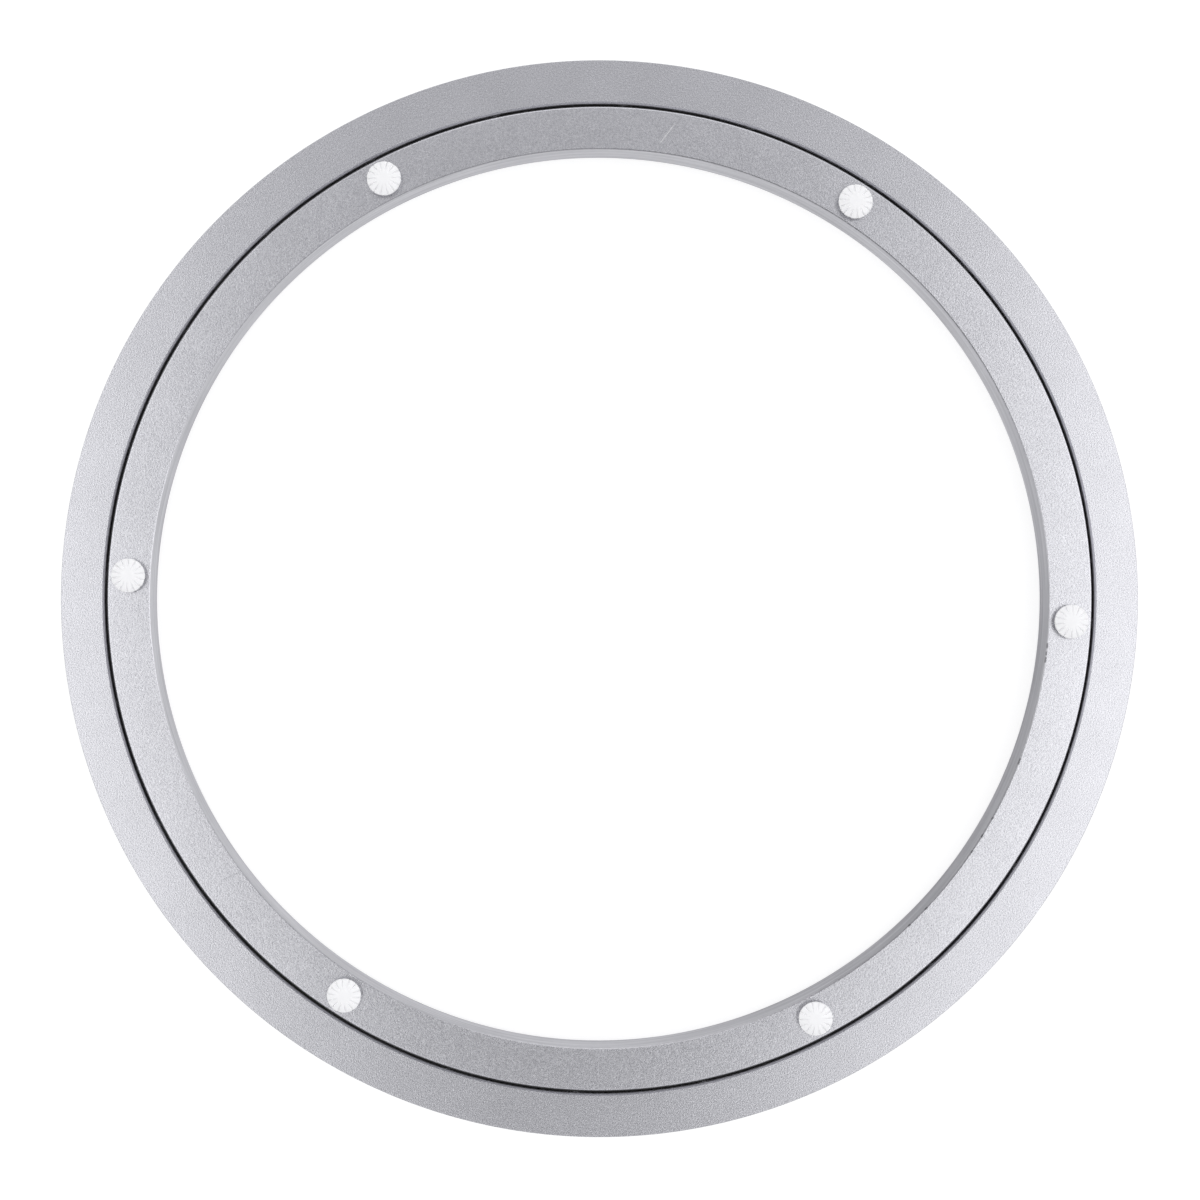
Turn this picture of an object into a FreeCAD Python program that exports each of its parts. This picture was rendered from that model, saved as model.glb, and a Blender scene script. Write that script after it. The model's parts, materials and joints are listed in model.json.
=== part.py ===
# Lazy susan bearing, in millimetres: two flat turned aluminium rings side by side. The inner ring turns
# inside the outer one on a single row of balls, which a split plastic strip spaces. The origin is at the
# middle of the bearing, on the plane that its lower pads stand on, and +Z points up.
import FreeCAD, Part
import math
import os

# Rings: both have one section, the inner one turned over, so that the grooves meet half way up
outer_diameter = 300.0
outer_ring_width = 12.0
inner_ring_width = 11.8
ring_gap = 1.2
ring_thickness = 10.0
inner_ring_rise = 1.0

# Race, balls and cage: each ball bears on the four flanks of two V grooves turned into the rings
race_angle = 90.0
race_clearance = 0.05
ball_diameter = 4.76
ball_count = 24
ball_set_count = 4
ball_flats_around = 8
pocket_clearance = 0.15
cage_side_clearance = 0.3
cage_rim = 0.5
cage_split = 1.0

# Hole in the outer rim through which the balls are loaded, and the plug that closes it
filling_clearance = 0.2
plug_clearance = 0.02
plug_angle = 60.0

# Pads: round heads on the faces of the rings, with ribbed stems pushed into blind holes
pad_count = 6
top_pad_start_angle = 0.0
bottom_pad_start_angle = 30.0
pad_diameter = 9.5
pad_height = 2.4
pad_side_height = 1.7
pad_flat_width = 3.2
flute_count = 14
flute_width = 0.7
flute_depth = 0.55
stem_hole_diameter = 3.6
stem_clearance = 0.03
stem_length = 4.5
stem_rib_thickness = 1.2
stem_hole_spare_depth = 0.5

# Places that follow from the sizes
ORIGIN = FreeCAD.Vector(0, 0, 0)
X_AXIS = FreeCAD.Vector(1, 0, 0)
Z_AXIS = FreeCAD.Vector(0, 0, 1)
outer_radius = outer_diameter / 2
outer_ring_bore_radius = outer_radius - outer_ring_width
inner_ring_radius = outer_ring_bore_radius - ring_gap
bore_radius = inner_ring_radius - inner_ring_width
outer_ring_bottom = pad_height
inner_ring_bottom = outer_ring_bottom + inner_ring_rise
inner_ring_top = inner_ring_bottom + ring_thickness
race_height = (outer_ring_bottom + inner_ring_top) / 2
pitch_radius = (outer_ring_bore_radius + inner_ring_radius) / 2
ball_radius = ball_diameter / 2
pad_radius = pad_diameter / 2


def revolve(points):
    """Turns a closed outline of (radius, height) points about the Z axis."""
    corners = [FreeCAD.Vector(radius, 0, height) for radius, height in points]
    section = Part.Face(Part.makePolygon(corners + corners[:1]))
    return section.revolve(ORIGIN, Z_AXIS, 360)


def flat_sided(outlines):
    """A solid from the flat outlines that close it."""
    faces = [Part.Face(Part.makePolygon(outline + outline[:1])) for outline in outlines]
    return Part.makeSolid(Part.makeShell(faces))


def stacked(levels, side_count):
    """A solid with flat sides through regular outlines about the Z axis, each a (corner radius, height)."""
    outlines = []
    for radius, height in levels:
        corner = FreeCAD.Vector(radius, 0, height)
        turns = [FreeCAD.Rotation(Z_AXIS, 360.0 / side_count * (index + 0.5)) for index in range(side_count)]
        outlines.append([turn.multVec(corner) for turn in turns])
    sides = []
    for low, high in zip(outlines, outlines[1:]):
        for index in range(side_count):
            sides.append([low[index - 1], low[index], high[index], high[index - 1]])
    return flat_sided(sides + [outlines[0], outlines[-1]])


def around(shape, angle):
    """A copy of a shape, turned about the Z axis."""
    turned = shape.copy()
    turned.rotate(ORIGIN, Z_AXIS, angle)
    return turned


def pattern(shape, count, start=0.0):
    """Evenly spaced copies of a shape about the Z axis."""
    return [around(shape, start + index * 360.0 / count) for index in range(count)]


def seated(shape, radius, height, upside_down=False):
    """Moves a shape from the origin to its seat on a ring, turned over for an underside."""
    placed = shape.copy()
    if upside_down:
        placed.rotate(ORIGIN, X_AXIS, 180)
    placed.translate(FreeCAD.Vector(radius, 0, height))
    return placed


def grooved_ring(inner_radius, outer_radius, bottom):
    """A flat ring with its half of the race cut into it by one V tool that reaches into both rings."""
    top = bottom + ring_thickness
    blank = revolve([(inner_radius, bottom), (outer_radius, bottom), (outer_radius, top), (inner_radius, top)])
    half_angle = math.radians(race_angle / 2)
    reach = (ball_radius + race_clearance) / math.sin(half_angle)
    spread = reach * math.tan(half_angle)
    tool = revolve([
        (pitch_radius - reach, race_height),
        (pitch_radius, race_height - spread),
        (pitch_radius + reach, race_height),
        (pitch_radius, race_height + spread),
    ])
    return blank.cut(tool)


def ball():
    """One ball at the origin, cut in flats because the race holds many of them."""
    step = 2 * math.pi / ball_flats_around
    falls = [step * (index + 0.5) for index in range(ball_flats_around // 2)]
    levels = [(ball_radius * math.sin(fall), -ball_radius * math.cos(fall)) for fall in falls]
    return stacked(levels, ball_flats_around)


def ball_cage():
    """The split strip between the rings, with a square pocket for each ball."""
    thickness = ring_gap - 2 * cage_side_clearance
    pocket_width = ball_diameter + 2 * pocket_clearance
    height = pocket_width + 2 * cage_rim
    low = race_height - height / 2
    inside = pitch_radius - thickness / 2
    outside = pitch_radius + thickness / 2
    strip = revolve([(inside, low), (outside, low), (outside, low + height), (inside, low + height)])
    depth = 2 * ring_gap
    start = pitch_radius - depth / 2
    pocket_corner = FreeCAD.Vector(start, -pocket_width / 2, race_height - pocket_width / 2)
    pocket = Part.makeBox(depth, pocket_width, pocket_width, pocket_corner)
    split = Part.makeBox(depth, cage_split, height, FreeCAD.Vector(start, -cage_split / 2, low))
    half_pitch = 180.0 / ball_count
    return strip.cut(pattern(pocket, ball_count)).cut(around(split, half_pitch))


def stem_hole():
    """The blind hole for one pad's stem, downwards from the origin."""
    depth = stem_length + stem_hole_spare_depth
    return Part.makeCylinder(stem_hole_diameter / 2, depth, FreeCAD.Vector(0, 0, -depth))


def head(fluted):
    """A pad's round head, whose sloping top has a flat land for each space between two flutes."""
    slope = (pad_radius - pad_flat_width / 2) / (pad_height - pad_side_height)
    corner_share = 1 / math.cos(math.pi / flute_count)
    widest = (pad_flat_width / 2 + slope * pad_height) * corner_share
    crown = stacked([(widest, 0), (pad_flat_width / 2 * corner_share, pad_height)], flute_count)
    shape = Part.makeCylinder(pad_radius, pad_height).common(crown)
    if fluted:
        shape = shape.cut(pattern(flute(), flute_count, 180.0 / flute_count))
    return shape


def flute():
    """The V cut of one flute, a pyramid that starts at a corner of the head's flat and notches its rim."""
    start = pad_flat_width / 2 / math.cos(math.pi / flute_count)
    reach = pad_diameter - start
    fall = (pad_height - pad_side_height + flute_depth) / (pad_radius - start)
    floor = pad_height - fall * reach
    top = pad_height + flute_depth
    half_width = flute_width / 2 * (top - floor) / flute_depth
    tip = FreeCAD.Vector(start, 0, pad_height)
    root = FreeCAD.Vector(start + reach, 0, floor)
    left = FreeCAD.Vector(start + reach, half_width, top)
    right = FreeCAD.Vector(start + reach, -half_width, top)
    return flat_sided([[root, left, right], [tip, root, left], [tip, root, right], [tip, left, right]])


def pad(fluted):
    """One push-in pad, head up: the ring's face is at height 0 and the ribbed stem hangs below it."""
    stem_radius = stem_hole_diameter / 2 - stem_clearance
    half_width = math.sqrt(stem_radius ** 2 - (stem_rib_thickness / 2) ** 2)
    corner = FreeCAD.Vector(-half_width, -stem_rib_thickness / 2, -stem_length)
    rib = Part.makeBox(2 * half_width, stem_rib_thickness, stem_length, corner)
    return head(fluted).fuse([rib, around(rib, 90)]).removeSplitter()


def write(name, shape):
    """Writes one piece, or one group of like pieces, to its own file."""
    shape.exportStep("parts/" + name + ".step")


os.makedirs("parts", exist_ok=True)

# Inner ring, with the holes for its top pads
hole = stem_hole()
top_pad_radius = (bore_radius + inner_ring_radius) / 2
top_hole = seated(hole, top_pad_radius, inner_ring_top)
inner_ring = grooved_ring(bore_radius, inner_ring_radius, inner_ring_bottom)
write("inner_ring", inner_ring.cut(pattern(top_hole, pad_count, top_pad_start_angle)))

# Outer ring, with the holes for its bottom pads, the filling hole and the plug that closes it
bottom_pad_radius = (outer_ring_bore_radius + outer_radius) / 2
bottom_hole = seated(hole, bottom_pad_radius, outer_ring_bottom, upside_down=True)
outer_ring = grooved_ring(outer_ring_bore_radius, outer_radius, outer_ring_bottom)
outer_ring = outer_ring.cut(pattern(bottom_hole, pad_count, bottom_pad_start_angle))
filling_start = FreeCAD.Vector(pitch_radius, 0, race_height)
filling_radius = ball_radius + filling_clearance / 2
filling_hole = Part.makeCylinder(filling_radius, 2 * outer_ring_width, filling_start, X_AXIS)
plug_rod = Part.makeCylinder(filling_radius - plug_clearance, 2 * outer_ring_width, filling_start, X_AXIS)
write("fill_plug", outer_ring.common(around(plug_rod, plug_angle)))
write("outer_ring", outer_ring.cut(around(filling_hole, plug_angle)))

# Balls, in sets that each go all the way round the race, and the cage that spaces them
write("ball_cage", ball_cage())
balls = pattern(seated(ball(), pitch_radius, race_height), ball_count)
for index in range(ball_set_count):
    write("balls_" + str(index + 1), Part.makeCompound(balls[index::ball_set_count]))

# Pads on top of the inner ring and under the outer one
top_pads = pattern(seated(pad(True), top_pad_radius, inner_ring_top), pad_count, top_pad_start_angle)
bottom_pad = seated(pad(False), bottom_pad_radius, outer_ring_bottom, upside_down=True)
bottom_pads = pattern(bottom_pad, pad_count, bottom_pad_start_angle)
for index in range(pad_count):
    write("top_pad_" + str(index + 1), top_pads[index])
    write("bottom_pad_" + str(index + 1), bottom_pads[index])
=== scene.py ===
import json
import math

import bmesh
import bpy
from mathutils import Matrix, Vector


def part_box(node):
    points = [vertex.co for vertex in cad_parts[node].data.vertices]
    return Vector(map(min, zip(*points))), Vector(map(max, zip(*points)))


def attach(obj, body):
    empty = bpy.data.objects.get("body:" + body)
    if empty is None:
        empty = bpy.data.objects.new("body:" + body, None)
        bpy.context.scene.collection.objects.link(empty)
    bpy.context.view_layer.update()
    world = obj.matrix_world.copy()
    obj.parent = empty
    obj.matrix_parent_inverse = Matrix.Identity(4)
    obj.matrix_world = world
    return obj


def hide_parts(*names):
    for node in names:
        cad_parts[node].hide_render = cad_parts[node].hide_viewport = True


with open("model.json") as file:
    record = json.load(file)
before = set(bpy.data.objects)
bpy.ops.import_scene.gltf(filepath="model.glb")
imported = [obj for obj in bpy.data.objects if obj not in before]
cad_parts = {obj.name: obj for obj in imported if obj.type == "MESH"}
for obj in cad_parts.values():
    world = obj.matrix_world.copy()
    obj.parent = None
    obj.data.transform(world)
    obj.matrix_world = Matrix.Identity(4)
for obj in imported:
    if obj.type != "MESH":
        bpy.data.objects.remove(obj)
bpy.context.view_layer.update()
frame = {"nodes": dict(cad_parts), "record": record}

# Camera. It looks straight down from half a metre above, a little to the left of the bearing's axis, so the
# bore wall shows all round. The bearing lies turned a few degrees clockwise in the picture, near its middle.
MM = 0.001
camera_height = 505 * MM
camera_left = 18 * MM
camera_below = 7 * MM
picture_turn = math.radians(2.8)
picture_width = 334.17 * MM
centre_left = 0.15 * MM
centre_above = 0.37 * MM
outer_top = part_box("outer_ring")[1].z
picture_right = Vector((math.cos(picture_turn), math.sin(picture_turn), 0))
picture_up = Vector((-math.sin(picture_turn), math.cos(picture_turn), 0))


def new_object(name, data):
    """A new object in the scene, at the origin."""
    thing = bpy.data.objects.new(name, data)
    bpy.context.scene.collection.objects.link(thing)
    return thing


camera_data = bpy.data.cameras.new("camera")
camera_data.sensor_width = 36
camera_data.lens = camera_data.sensor_width * camera_height / picture_width
camera_data.shift_x = (camera_left + centre_left) / picture_width
camera_data.shift_y = (camera_below - centre_above) / picture_width
camera = new_object("camera", camera_data)
camera.location = (Vector((0, 0, outer_top + camera_height))
                   - camera_left * picture_right - camera_below * picture_up)
camera.rotation_euler = (0, 0, picture_turn)
bpy.context.scene.camera = camera

# Outer ring. A flat ring turned from aluminium, with a V groove for the balls in its bore, blind holes for
# its feet underneath and a filling hole through the rim. Fine blasting and clear anodising leave it matt
# silver with a fine grit; the turned walls keep faint marks that run round the ring.
outer_ring_width = 12 * MM
outer_rim_break = 0.15 * MM
outer_bore_break = 0.45 * MM
ring_gap = 1.2 * MM
ball_diameter = 4.76 * MM
race_clearance = 0.05 * MM
race_half_angle = math.radians(45)
filling_hole_radius = 2.48 * MM
filling_hole_depth = outer_ring_width + 0.5 * MM
filling_hole_angle = math.radians(60)
stem_hole_radius = 1.8 * MM
stem_hole_depth = 5 * MM
pad_count = 6
bottom_pad_start = 30
outer_ring_low, outer_ring_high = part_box("outer_ring")
inner_ring_low, inner_ring_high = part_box("inner_ring")
outer_radius = outer_ring_high.x
outer_bore_radius = outer_radius - outer_ring_width
inner_ring_radius = outer_bore_radius - ring_gap
pitch_radius = (outer_bore_radius + inner_ring_radius) / 2
race_height = (outer_ring_low.z + inner_ring_high.z) / 2
bottom_pad_radius = (outer_radius + outer_bore_radius) / 2
bottom_pad_angles = [math.radians(bottom_pad_start + 360 / pad_count * index) for index in range(pad_count)]
ring_steps = 512
drill_steps = 48
drill_overrun = 1 * MM
merge_distance = 0.001 * MM
circle_tolerance = 0.01 * MM
sharp_angle = math.radians(35)


def around_axis(radius, angle, height=0):
    """A point at an angle about the bearing's axis."""
    return Vector((radius * math.cos(angle), radius * math.sin(angle), height))


def edges_on_circle(mesh, radius, height):
    """The edges of a mesh that lie on one circle about the bearing's axis."""
    def on_circle(vert):
        return (abs(vert.co.xy.length - radius) < circle_tolerance
                and abs(vert.co.z - height) < circle_tolerance)
    return [edge for edge in mesh.edges if all(on_circle(vert) for vert in edge.verts)]


def turned_ring(near_gap, far, low, high, breaks):
    """One ring, spun from its section. near_gap is the radius of the wall beside the gap, which holds the V
    groove. Each of breaks is (radius, size, steps): one step leaves a flat, and more of them a round."""
    reach = (ball_diameter / 2 + race_clearance) / math.sin(race_half_angle)
    side = 1 if far > near_gap else -1
    depth = reach - ring_gap / 2
    spread = depth * math.tan(race_half_angle)
    outline = [(near_gap, low), (near_gap, race_height - spread), (near_gap + side * depth, race_height),
               (near_gap, race_height + spread), (near_gap, high), (far, high), (far, low)]
    mesh = bmesh.new()
    corners = [mesh.verts.new((radius, 0, height)) for radius, height in outline]
    edges = [mesh.edges.new((corners[index - 1], corners[index])) for index in range(len(corners))]
    bmesh.ops.spin(mesh, geom=corners + edges, cent=(0, 0, 0), axis=(0, 0, 1), dvec=(0, 0, 0),
                   angle=2 * math.pi, steps=ring_steps, use_merge=True, use_duplicate=False)
    bmesh.ops.remove_doubles(mesh, verts=mesh.verts, dist=merge_distance)
    bmesh.ops.recalc_face_normals(mesh, faces=mesh.faces)
    for radius, size, steps in breaks:
        for height in (high, low):
            bmesh.ops.bevel(mesh, geom=edges_on_circle(mesh, radius, height), offset=size,
                            segments=steps, profile=0.5, affect="EDGES", material=-1)
    return mesh


def mesh_object(mesh, name):
    """Turns a bmesh into an object at the origin."""
    data = bpy.data.meshes.new(name)
    mesh.to_mesh(data)
    mesh.free()
    return new_object(name, data)


def finish_piece(mesh, name, material):
    """Turns a bmesh into a smooth-shaded piece with its material."""
    bmesh.ops.recalc_face_normals(mesh, faces=mesh.faces)
    piece = mesh_object(mesh, name)
    piece.data.materials.append(material)
    piece.data.shade_smooth()
    piece.data.set_sharp_from_angle(angle=sharp_angle)
    return piece


def add_drill(mesh, place, direction, radius, depth):
    """Adds one round drill to a bmesh: its mouth is just outside place, and it points along direction."""
    turn = Vector((0, 0, 1)).rotation_difference(direction).to_matrix().to_4x4()
    centre = Matrix.Translation(place + direction * (depth - drill_overrun) / 2)
    bmesh.ops.create_cone(mesh, cap_ends=True, segments=drill_steps, radius1=radius, radius2=radius,
                          depth=depth + drill_overrun, matrix=centre @ turn)


def drill_piece(piece, drills):
    """Cuts drill shapes, one bmesh, out of a piece, and keeps the result as its mesh."""
    cutter = mesh_object(drills, "drills")
    cut = piece.modifiers.new("holes", "BOOLEAN")
    cut.object = cutter
    cut.solver = "EXACT"
    bpy.context.view_layer.update()
    drilled = piece.evaluated_get(bpy.context.evaluated_depsgraph_get())
    drilled_data = bpy.data.meshes.new_from_object(drilled)
    piece.modifiers.clear()
    piece.data = drilled_data
    by_area = piece.modifiers.new("flat_faces", "WEIGHTED_NORMAL")
    by_area.keep_sharp = True
    bpy.data.objects.remove(cutter)


def linear(code):
    """An sRGB colour such as "c8cacc" as the linear values that a shader takes."""
    shares = [int(code[start:start + 2], 16) / 255 for start in (0, 2, 4)]
    return [s / 12.92 if s <= 0.04045 else ((s + 0.055) / 1.055) ** 2.4 for s in shares] + [1.0]


def add(tree, kind, inputs=None, **settings):
    """Adds one node with its settings, and links or sets its inputs. A colour Mix node, which has data_type
    RGBA, takes its colours at inputs 6 and 7 and gives one at output 2."""
    node = tree.nodes.new(kind)
    for name, value in settings.items():
        setattr(node, name, value)
    for name, value in (inputs or {}).items():
        if isinstance(value, bpy.types.NodeSocket):
            tree.links.new(value, node.inputs[name])
        else:
            node.inputs[name].default_value = value
    return node


def empty_tree(owner):
    """The node tree of a material or a world, emptied."""
    owner.use_nodes = True
    owner.node_tree.nodes.clear()
    return owner.node_tree


def new_material(name, values):
    """A material with one Principled shader set to plain values; returns it with its tree and shader."""
    material = bpy.data.materials.new(name)
    tree = empty_tree(material)
    shader = add(tree, "ShaderNodeBsdfPrincipled", values)
    add(tree, "ShaderNodeOutputMaterial", {"Surface": shader.outputs[0]})
    return material, tree, shader


# Blasted and anodised aluminium. The flat faces scatter light evenly, with a grit that just shows, and the
# walls are rougher. Grit of 0.1 mm doesn't show at this distance, so it is drawn at 0.4 mm. Levelness is 1
# on a flat face and 0 on a wall, and the noise stays mostly between its low and its high.
grit_size = 0.4 * MM
grit_height = 0.045 * MM
cloud_size = 14 * MM
streak_length = 100 / 3 * MM
streak_spacing = 1.1 * MM
wall_levelness = 0.3
face_levelness = 0.8
noise_low = 0.3
noise_high = 0.7
face_roughness = (0.24, 0.3)
wall_roughness = (0.5, 0.58)


def blasted_aluminium(name):
    """The finish of both rings, which changes from the flat faces to the walls."""
    material, tree, shader = new_material(name, {"Metallic": 1.0})
    place = add(tree, "ShaderNodeTexCoord").outputs["Object"]
    normal = add(tree, "ShaderNodeNewGeometry").outputs["Normal"]
    upward = add(tree, "ShaderNodeSeparateXYZ", {0: normal}).outputs["Z"]
    levelness = add(tree, "ShaderNodeMath", {0: upward}, operation="ABSOLUTE").outputs[0]
    on_face = add(tree, "ShaderNodeMapRange",
                  {"Value": levelness, "From Min": wall_levelness, "From Max": face_levelness}).outputs[0]

    # Texture: grit on the faces, and on the walls the turning marks, long streaks that run round the ring
    grit = add(tree, "ShaderNodeTexNoise",
               {"Vector": place, "Scale": 1 / grit_size, "Detail": 3.0, "Roughness": 0.65}).outputs["Fac"]
    stretch = (1 / streak_length, 1 / streak_length, 1 / streak_spacing)
    drawn_out = add(tree, "ShaderNodeVectorMath", {0: place, 1: stretch}, operation="MULTIPLY").outputs[0]
    streaks = add(tree, "ShaderNodeTexNoise",
                  {"Vector": drawn_out, "Scale": 1.0, "Detail": 4.0}).outputs["Fac"]
    texture = add(tree, "ShaderNodeMix", {"Factor": on_face, "A": streaks, "B": grit}).outputs["Result"]
    spread = {"Value": texture, "From Min": noise_low, "From Max": noise_high}

    # Colour: silver that follows the texture, very slightly clouded
    shine = add(tree, "ShaderNodeMapRange", spread).outputs[0]
    silver = add(tree, "ShaderNodeMix", {"Factor": shine, 6: linear("c6c6cb"), 7: linear("e3e3e7")},
                 data_type="RGBA").outputs[2]
    cloud = add(tree, "ShaderNodeTexNoise",
                {"Vector": place, "Scale": 1 / cloud_size, "Detail": 2.0}).outputs["Fac"]
    tint = add(tree, "ShaderNodeMix", {"Factor": cloud, 6: linear("f4f4f4"), 7: linear("ffffff")},
               data_type="RGBA").outputs[2]
    colour = add(tree, "ShaderNodeMix", {"Factor": 1.0, 6: silver, 7: tint},
                 data_type="RGBA", blend_type="MULTIPLY").outputs[2]

    smooth, rough = [add(tree, "ShaderNodeMapRange", {**spread, "To Min": least, "To Max": most}).outputs[0]
                     for least, most in (face_roughness, wall_roughness)]
    roughness = add(tree, "ShaderNodeMix", {"Factor": on_face, "A": rough, "B": smooth}).outputs["Result"]
    bump = add(tree, "ShaderNodeBump",
               {"Height": texture, "Strength": 1.0, "Distance": grit_height}).outputs[0]
    tree.links.new(colour, shader.inputs["Base Color"])
    tree.links.new(roughness, shader.inputs["Roughness"])
    tree.links.new(bump, shader.inputs["Normal"])
    return material


outer_breaks = [(outer_radius, outer_rim_break, 1), (outer_bore_radius, outer_bore_break, 1)]
outer_mesh = turned_ring(outer_bore_radius, outer_radius, outer_ring_low.z, outer_ring_high.z, outer_breaks)
outer_finish = blasted_aluminium("blasted_aluminium")
outer_ring = finish_piece(outer_mesh, "outer_ring_turned", outer_finish)
drills = bmesh.new()
for angle in bottom_pad_angles:
    foot_place = around_axis(bottom_pad_radius, angle, outer_ring_low.z)
    add_drill(drills, foot_place, Vector((0, 0, 1)), stem_hole_radius, stem_hole_depth)
filling_hole_place = around_axis(outer_radius, filling_hole_angle, race_height)
inward = -around_axis(1, filling_hole_angle)
add_drill(drills, filling_hole_place, inward, filling_hole_radius, filling_hole_depth)
drill_piece(outer_ring, drills)
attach(outer_ring, "base")
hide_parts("outer_ring")


# Fill plug. A short aluminium rod pressed into the filling hole after the balls, cut flush with the rim and
# finished with it, so that only a fine circle shows. It is the frame's own piece.
def dress(node, material):
    """Gives a piece of the frame its finish."""
    finishes = frame["nodes"][node].data.materials
    finishes.clear()
    finishes.append(material)


dress("fill_plug", outer_finish)

# Inner ring. The same turned section turned over, so it stands a little higher than the outer ring. Its edge
# beside the gap is rounded, which catches the light as a thin bright line. It has a few scratches, and nicks
# in the bore's edge whose shade is painted on as dark dashes.
bore_break = 0.25 * MM
gap_round = 0.45 * MM
gap_round_steps = 3
bore_mount = [mount for mount in frame["record"]["mounts"] if mount["name"] == "centre_bore"][0]
bore_radius = bore_mount["dims"]["r_mm"] * MM
top_pad_radius = (bore_radius + inner_ring_radius) / 2
top_pad_angles = [math.radians(360 / pad_count * index) for index in range(pad_count)]

# Each scratch has its two ends in the photograph, its width, its colour and how strongly it shows. Each nick
# in the bore's upper edge has its azimuth in the picture, in degrees, and its length in millimetres. No nick
# is
# cut: each is a dark dash of painted shade on the top beside the edge, where a small dent would hold shade.
pixels_per_mm = 3.5976
ring_centre_pixel = (597.7, 597.5)
top_scratch_pixels = ((656.4, 144.3), (673.6, 122.0))
low_scratch_pixels = ((371.6, 995.5), (375.0, 1008.0))
left_scuff_pixels = ((218.5, 880.0), (240.5, 869.5))
scratches = [
    (top_scratch_pixels, 0.4 * MM, "ffffff", 0.9),
    (low_scratch_pixels, 0.35 * MM, "ffffff", 0.6),
    (left_scuff_pixels, 0.5 * MM, "a8a9ad", 0.6),
]
shaded_nicks = [(354.0, 1.8), (353.0, 1.4), (352.2, 2.0), (338.8, 2.4), (330.8, 1.0), (328.2, 1.2), (325.8, 1.0),
         (316.5, 1.3), (313.5, 1.0)]
nick_inset = 0.15 * MM
nick_width = 0.7 * MM
# Painted shade of the nicks: its grey and how strongly it covers the ring's colour.
nick_shade_colour = "626266"
nick_shade_strength = 0.85
mark_depth = 0.6 * MM
whole_share = 0.3


def on_ring(pixel):
    """Where a pixel of the 1200 by 1200 photograph lies on the inner ring's top, seen from above."""
    across = (pixel[0] - ring_centre_pixel[0]) / pixels_per_mm * MM
    up = (ring_centre_pixel[1] - pixel[1]) / pixels_per_mm * MM
    return across * picture_right + up * picture_up


marks = [(on_ring(start), on_ring(end), width, code, strength)
         for (start, end), width, code, strength in scratches]
# Each nick becomes a dark dash of painted shade, lying along the bore's edge.
for azimuth, length in shaded_nicks:
    turn = math.radians(azimuth) + picture_turn
    middle = around_axis(bore_radius + nick_inset, turn)
    half = around_axis(length * MM / 2, turn + math.pi / 2)
    marks.append((middle - half, middle + half, nick_width, nick_shade_colour, nick_shade_strength))

# The scratches, and the painted shade of the nicks, are laid one by one over the ring's own colour. A mark is
# whole within a share of its length from its middle, and fades out towards its ends and its sides.
inner_finish = blasted_aluminium("blasted_aluminium_inner")
tree = inner_finish.node_tree
base_colour = tree.nodes["Principled BSDF"].inputs["Base Color"]
colour = base_colour.links[0].from_socket
place = add(tree, "ShaderNodeTexCoord").outputs["Object"]
level = add(tree, "ShaderNodeSeparateXYZ", {0: place}).outputs["Z"]
near_top = add(tree, "ShaderNodeMath", {0: level, 1: inner_ring_high.z - mark_depth},
               operation="GREATER_THAN").outputs[0]
for start, end, width, code, strength in marks:
    length = (end - start).length
    along = (end - start).normalized()
    aside = Vector((-along.y, along.x, 0))
    from_middle = add(tree, "ShaderNodeVectorMath", {0: place, 1: (start + end) / 2},
                      operation="SUBTRACT").outputs[0]
    run = add(tree, "ShaderNodeVectorMath", {0: from_middle, 1: along}, operation="DOT_PRODUCT")
    offset = add(tree, "ShaderNodeVectorMath", {0: from_middle, 1: aside}, operation="DOT_PRODUCT")
    to_end = add(tree, "ShaderNodeMath", {0: run.outputs["Value"]}, operation="ABSOLUTE").outputs[0]
    to_side = add(tree, "ShaderNodeMath", {0: offset.outputs["Value"]}, operation="ABSOLUTE").outputs[0]
    ends = add(tree, "ShaderNodeMapRange",
               {"Value": to_end, "From Min": length / 2, "From Max": length * whole_share}).outputs[0]
    sides = add(tree, "ShaderNodeMapRange",
                {"Value": to_side, "From Min": width / 2, "From Max": 0.0, "To Max": strength}).outputs[0]
    line = add(tree, "ShaderNodeMath", {0: ends, 1: sides}, operation="MULTIPLY").outputs[0]
    mask = add(tree, "ShaderNodeMath", {0: line, 1: near_top}, operation="MULTIPLY").outputs[0]
    colour = add(tree, "ShaderNodeMix", {"Factor": mask, 6: colour, 7: linear(code)},
                 data_type="RGBA").outputs[2]
tree.links.new(colour, base_colour)

inner_breaks = [(bore_radius, bore_break, 1), (inner_ring_radius, gap_round, gap_round_steps)]
inner_mesh = turned_ring(inner_ring_radius, bore_radius, inner_ring_low.z, inner_ring_high.z, inner_breaks)
inner_ring = finish_piece(inner_mesh, "inner_ring_turned", inner_finish)
drills = bmesh.new()
for angle in top_pad_angles:
    pad_place = around_axis(top_pad_radius, angle, inner_ring_high.z)
    add_drill(drills, pad_place, Vector((0, 0, -1)), stem_hole_radius, stem_hole_depth)
drill_piece(inner_ring, drills)
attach(inner_ring, "turntable")
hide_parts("inner_ring")

# Balls. Ground and polished bearing steel, nearly a mirror with a faint smear of oil. One sits in each pocket
# of the cage, in sets that go all the way round the race.
ball_count = 24
ball_set_count = 4
smear_size = 1.5 * MM


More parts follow.
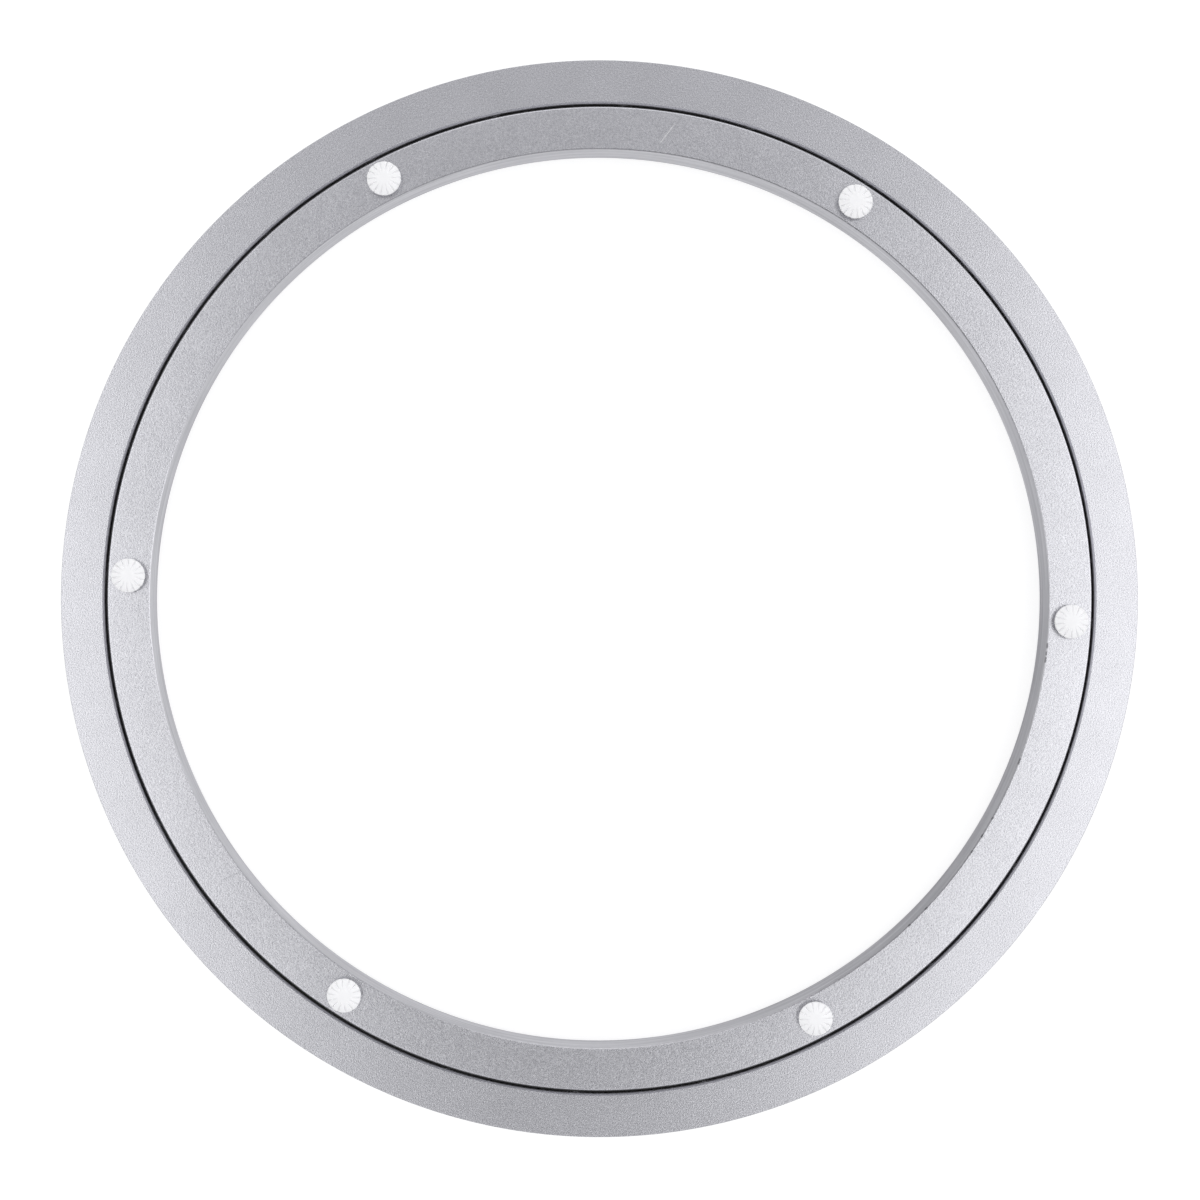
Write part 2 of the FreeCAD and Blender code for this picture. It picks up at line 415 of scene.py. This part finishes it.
def mottled(name, patch_size, detail, colours, roughnesses, values, patch_height=0):
    """A material whose colour and roughness wander between two values in soft patches, which stand up as
    faint bumps where they have a height."""
    material, tree, shader = new_material(name, values)
    place = add(tree, "ShaderNodeTexCoord").outputs["Object"]
    patches = add(tree, "ShaderNodeTexNoise",
                  {"Vector": place, "Scale": 1 / patch_size, "Detail": detail}).outputs["Fac"]
    colour = add(tree, "ShaderNodeMix", {"Factor": patches, 6: linear(colours[0]), 7: linear(colours[1])},
                 data_type="RGBA").outputs[2]
    roughness = add(tree, "ShaderNodeMapRange",
                    {"Value": patches, "To Min": roughnesses[0], "To Max": roughnesses[1]}).outputs[0]
    tree.links.new(colour, shader.inputs["Base Color"])
    tree.links.new(roughness, shader.inputs["Roughness"])
    if patch_height:
        bump = add(tree, "ShaderNodeBump",
                   {"Height": patches, "Strength": 0.15, "Distance": patch_height}).outputs[0]
        tree.links.new(bump, shader.inputs["Normal"])
    return material


steel = mottled("polished_steel", smear_size, 3.0, colours=("b4b4b6", "c6c6c8"), roughnesses=(0.08, 0.22),
                values={"Metallic": 1.0})
for set_index in range(ball_set_count):
    mesh = bmesh.new()
    for index in range(set_index, ball_count, ball_set_count):
        turn = Matrix.Rotation(2 * math.pi * index / ball_count, 4, "Z")
        spot = Matrix.Translation((pitch_radius, 0, race_height))
        bmesh.ops.create_uvsphere(mesh, u_segments=32, v_segments=16, radius=ball_diameter / 2,
                                  matrix=turn @ spot)
    node = "balls_" + str(set_index + 1)
    balls = finish_piece(mesh, node + "_polished", steel)
    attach(balls, "ball_row")
    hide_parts(node)

# Ball cage. A thin strip of moulded black nylon with a pocket for each ball, split once so that it can be
# opened over the inner ring. It is the frame's own piece, and only its dull upper edge shows in the gap.
grain_size = 0.4 * MM
nylon_ior = 1.53
black_nylon = mottled("black_nylon", grain_size, 2.0, colours=("0c0c0d", "1a1a1b"), roughnesses=(0.5, 0.65),
                      values={"IOR": nylon_ior})
dress("ball_cage", black_nylon)

# Pads. Push-in pads moulded in soft white nylon: a low round head with a plain middle and flutes out to
# the rim, on a ribbed stem in a blind hole. Six carry the top on the inner ring, and six are the feet.
pad_radius = 4.75 * MM
pad_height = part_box("top_pad_1")[1].z - inner_ring_high.z
pad_side_height = 1.7 * MM
pad_flat_radius = 1.6 * MM
flat_middle_share = 0.55
crown_steps = 6
crown_power = 1.5
rim_round = 0.3 * MM
rim_round_steps = 3
undercut = 1.5 * MM
undercut_height = 1.4 * MM
undercut_bend = (0.1, 0.75)
flute_count = 14
flute_width = 0.55 * MM
flute_start_share = 0.35
flute_depth = 0.55 * MM
flute_steps = 16
rim_notch = 0.16 * MM
stem_radius = 1.77 * MM
stem_rib_thickness = 1.2 * MM
stem_length = 4.5 * MM
stem_sunk = 0.2 * MM


def pad_outline():
    """Points of the head from the middle of its top, over the crown and the rim, to the middle below."""
    flat_radii = (0, pad_flat_radius * flat_middle_share, pad_flat_radius)
    points = [(radius, pad_height) for radius in flat_radii]
    run = pad_radius - pad_flat_radius
    drop = pad_height - pad_side_height
    for index in range(1, crown_steps + 1):
        share = index / crown_steps * (1 - rim_round / run)
        points.append((pad_flat_radius + run * share, pad_height - drop * share ** crown_power))
    shoulder = points[-1][1]
    for index in range(1, rim_round_steps + 1):
        turn = math.pi / 2 * index / rim_round_steps
        points.append((pad_radius - rim_round * (1 - math.sin(turn)),
                       shoulder - rim_round * (1 - math.cos(turn))))
    points.append((pad_radius, undercut_height))
    points.append((pad_radius - undercut * undercut_bend[0], undercut_height * undercut_bend[1]))
    return points + [(pad_radius - undercut, 0), (0, 0)]


def press_flutes(mesh):
    """Sinks the V of each flute into the head, from nothing at the edge of the flat to its depth at the rim,
    and notches the rim with it. The undercut below the rim stays as it is."""
    pitch = 2 * math.pi / flute_count
    flat_edge = pad_flat_radius * 1.01
    notched_from = undercut_height * 0.9
    sunk_from = undercut_height * 1.1
    sunk_to = undercut_height * 1.05
    for vert in mesh.verts:
        radius = vert.co.xy.length
        if radius <= flat_edge or vert.co.z < notched_from:
            continue
        growth = min((radius - pad_flat_radius) / (pad_radius - rim_round - pad_flat_radius), 1)
        angle = math.atan2(vert.co.y, vert.co.x)
        off_centre = abs((angle / pitch) % 1 - 0.5) * pitch * radius
        half_width = flute_width / 2 * (flute_start_share + (1 - flute_start_share) * growth)
        share = max(0, 1 - off_centre / half_width)
        vert.co.xy *= 1 - rim_notch / pad_radius * share * growth ** 3
        if vert.co.z > sunk_from:
            vert.co.z = max(vert.co.z - flute_depth * growth * share, sunk_to)


def pad_mesh():
    """One pad, head up, with the ring's face at height 0 and the stem's two crossed ribs below it."""
    mesh = bmesh.new()
    outline = [mesh.verts.new((radius, 0, height)) for radius, height in pad_outline()]
    edges = [mesh.edges.new(pair) for pair in zip(outline, outline[1:])]
    bmesh.ops.spin(mesh, geom=outline + edges, cent=(0, 0, 0), axis=(0, 0, 1), dvec=(0, 0, 0),
                   angle=2 * math.pi, steps=flute_count * flute_steps, use_merge=True, use_duplicate=False)
    bmesh.ops.remove_doubles(mesh, verts=mesh.verts, dist=merge_distance)
    press_flutes(mesh)
    rib_width = 2 * math.sqrt(stem_radius ** 2 - (stem_rib_thickness / 2) ** 2)
    middle = Matrix.Translation((0, 0, (stem_sunk - stem_length) / 2))
    for size in ((rib_width, stem_rib_thickness), (stem_rib_thickness, rib_width)):
        scale = Matrix.Diagonal((size[0], size[1], stem_length + stem_sunk, 1))
        bmesh.ops.create_cube(mesh, size=1, matrix=middle @ scale)
    return mesh


# Moulded white nylon lets a little light in, so the flutes stay pale in their own shade, and it has a low
# gloss that is faintly uneven.
mottle_size = 1.2 * MM
mottle_height = 0.02 * MM
light_reach = 0.8 * MM
white_values = {
    "IOR": nylon_ior,
    "Subsurface Weight": 0.25,
    "Subsurface Radius": (light_reach, light_reach, light_reach),
    "Subsurface Scale": 1.0,
}
white_nylon = mottled("white_moulded_nylon", mottle_size, 3.0, colours=("f0f0f1", "f6f6f6"),
                      roughnesses=(0.38, 0.5), values=white_values, patch_height=mottle_height)


def place_pads(word, body, radius, angles, height, turned_over):
    """Seats a pad at each angle, as pieces that replace the pads of the frame."""
    upright = Matrix.Rotation(math.pi, 4, "X") if turned_over else Matrix.Identity(4)
    for index, angle in enumerate(angles):
        mesh = pad_mesh()
        seat = Matrix.Rotation(angle, 4, "Z") @ Matrix.Translation((radius, 0, height)) @ upright
        bmesh.ops.transform(mesh, matrix=seat, verts=mesh.verts)
        node = word + "_pad_" + str(index + 1)
        piece = finish_piece(mesh, node + "_moulded", white_nylon)
        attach(piece, body)
        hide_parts(node)


place_pads("top", "turntable", top_pad_radius, top_pad_angles, inner_ring_high.z, turned_over=False)
place_pads("bottom", "base", bottom_pad_radius, bottom_pad_angles, outer_ring_low.z, turned_over=True)

# Floor. White paper sweep: it shows pure white to the camera, and keeps the soft shadow. The bore's wall
# mirrors it at a flat angle, and there its glow holds painted light, a little brighter towards the top of the
# picture, and a painted shadow of the ring: a round duller patch beside the wall at the lower right.
floor_radius = 8.0
seen_glow = 0.74
bottom_glow = 0.43
top_glow = 0.51
glow_reach = 130 * MM
# The painted shadow of the ring: where it lies, how much of the mirrored glow it keeps, and where it fades
# out.
painted_shadow_azimuth = 331
painted_shadow_radius = 118 * MM
painted_shadow_share = 0.45
painted_shadow_from = 40 * MM
painted_shadow_to = 115 * MM
painted_shadow_spot = around_axis(painted_shadow_radius, math.radians(painted_shadow_azimuth) + picture_turn)
paper = bpy.data.materials.new("white_paper")
tree = empty_tree(paper)
rays = add(tree, "ShaderNodeLightPath").outputs
place = add(tree, "ShaderNodeTexCoord").outputs["Object"]
seen = add(tree, "ShaderNodeMath", {0: rays["Is Camera Ray"], 1: rays["Is Transmission Ray"]},
           operation="MAXIMUM").outputs[0]
lift = add(tree, "ShaderNodeMath", {0: seen, 1: seen_glow}, operation="MULTIPLY").outputs[0]
# Painted light: the glow that metal mirrors ramps up towards the top of the picture.
upwards = add(tree, "ShaderNodeVectorMath", {0: place, 1: picture_up}, operation="DOT_PRODUCT")
painted_light_ramp = add(tree, "ShaderNodeMapRange",
                {"Value": upwards.outputs["Value"], "From Min": -glow_reach, "From Max": glow_reach,
                 "To Min": bottom_glow, "To Max": top_glow}).outputs[0]
# Painted shadow: the mirrored glow is dimmed in a round patch beside the wall, where the ring would shade the
# paper.
from_spot = add(tree, "ShaderNodeVectorMath", {0: place, 1: painted_shadow_spot}, operation="DISTANCE")
unshadowed_share = add(tree, "ShaderNodeMapRange",
                 {"Value": from_spot.outputs["Value"], "From Min": painted_shadow_from, "From Max": painted_shadow_to,
                  "To Min": painted_shadow_share, "To Max": 1.0}).outputs[0]
glow_with_painted_shadow = add(tree, "ShaderNodeMath", {0: painted_light_ramp, 1: unshadowed_share}, operation="MULTIPLY").outputs[0]
mirrored = add(tree, "ShaderNodeMath", {0: rays["Is Glossy Ray"], 1: glow_with_painted_shadow}, operation="MULTIPLY").outputs[0]
strength = add(tree, "ShaderNodeMath", {0: lift, 1: mirrored}, operation="MAXIMUM").outputs[0]
glow = add(tree, "ShaderNodeEmission", {"Color": linear("ffffff"), "Strength": strength}).outputs[0]
diffuse = add(tree, "ShaderNodeBsdfDiffuse", {"Color": linear("a6a6a6")}).outputs[0]
both = add(tree, "ShaderNodeAddShader", {0: diffuse, 1: glow}).outputs[0]
add(tree, "ShaderNodeOutputMaterial", {"Surface": both})
floor_mesh = bmesh.new()
bmesh.ops.create_circle(floor_mesh, cap_ends=True, segments=128, radius=floor_radius)
floor = mesh_object(floor_mesh, "floor")
floor.data.materials.append(paper)

# Light. A pale studio that is brightest half way up, two large soft boxes that hang level on the right and on
# the left of the camera, and strip lights low down at the sides and the back. The flat rings mirror the boxes
# as two broad bright stretches, and the broken edges pick up the strips as thin lines.
middle_level = 1.04
low_share = 0.22
overhead_share = 0.39
low_end = 0.3
middle_start = 0.55
middle_end = 0.78
overhead_start = 0.93
pull_overhead = picture_up * 0.36
pull_low_down = picture_right * 0.3 - picture_up * 0.05
box_size = (0.8, 1.6)
box_height = 1.3
box_inner_edge = 0.405
box_out = box_inner_edge + box_size[0] / 2
strip_size = (0.45, 1.1)
strip_height = 0.45
strip_out = 1.5
facing_in = math.radians(90)

# How high a part of the studio is counts as the sine of its elevation. Each pull brightens one side and
# dims the other.
world = bpy.data.worlds.new("studio")
bpy.context.scene.world = world
tree = empty_tree(world)
direction = add(tree, "ShaderNodeTexCoord").outputs["Generated"]
upward = add(tree, "ShaderNodeSeparateXYZ", {0: direction}).outputs["Z"]
rise = add(tree, "ShaderNodeMapRange",
           {"Value": upward, "From Min": low_end, "From Max": middle_start,
            "To Min": middle_level * low_share, "To Max": middle_level}).outputs[0]
fall = add(tree, "ShaderNodeMapRange",
           {"Value": upward, "From Min": middle_end, "From Max": overhead_start,
            "To Min": 1.0, "To Max": overhead_share}).outputs[0]
even = add(tree, "ShaderNodeMath", {0: rise, 1: fall}, operation="MULTIPLY").outputs[0]
high = add(tree, "ShaderNodeVectorMath", {0: direction, 1: pull_overhead}, operation="DOT_PRODUCT")
low = add(tree, "ShaderNodeVectorMath", {0: direction, 1: pull_low_down}, operation="DOT_PRODUCT")
pull = add(tree, "ShaderNodeMix",
           {"Factor": upward, "A": low.outputs["Value"], "B": high.outputs["Value"]}).outputs["Result"]
pulled = add(tree, "ShaderNodeMath", {0: even, 1: pull}, operation="ADD").outputs[0]
background = add(tree, "ShaderNodeBackground", {"Color": linear("fcfcff"), "Strength": pulled}).outputs[0]
add(tree, "ShaderNodeOutputWorld", {"Surface": background})


def soft_light(name, size, brightness, picture_azimuth, out, height, tilt):
    """An area light of even brightness, at a distance from the axis towards an azimuth in the picture."""
    data = bpy.data.lights.new(name, "AREA")
    data.shape = "RECTANGLE"
    data.size = size[0]
    data.size_y = size[1]
    data.energy = brightness * math.pi * size[0] * size[1]
    turn = math.radians(picture_azimuth) + picture_turn
    lamp = new_object(name, data)
    lamp.location = around_axis(out, turn, height)
    lamp.rotation_euler = (0, tilt, turn)


for name, brightness, azimuth in (("right_box", 1.17, 346), ("left_box", 1.23, 193)):
    soft_light(name, box_size, brightness, azimuth, box_out, box_height, tilt=0)
for name, brightness, azimuth in (("right_strip", 1.6, 0), ("left_strip", 1.3, 180), ("back_strip", 1.0, 90)):
    soft_light(name, strip_size, brightness, azimuth, strip_out, strip_height, tilt=facing_in)
bpy.context.scene.view_settings.view_transform = "Standard"
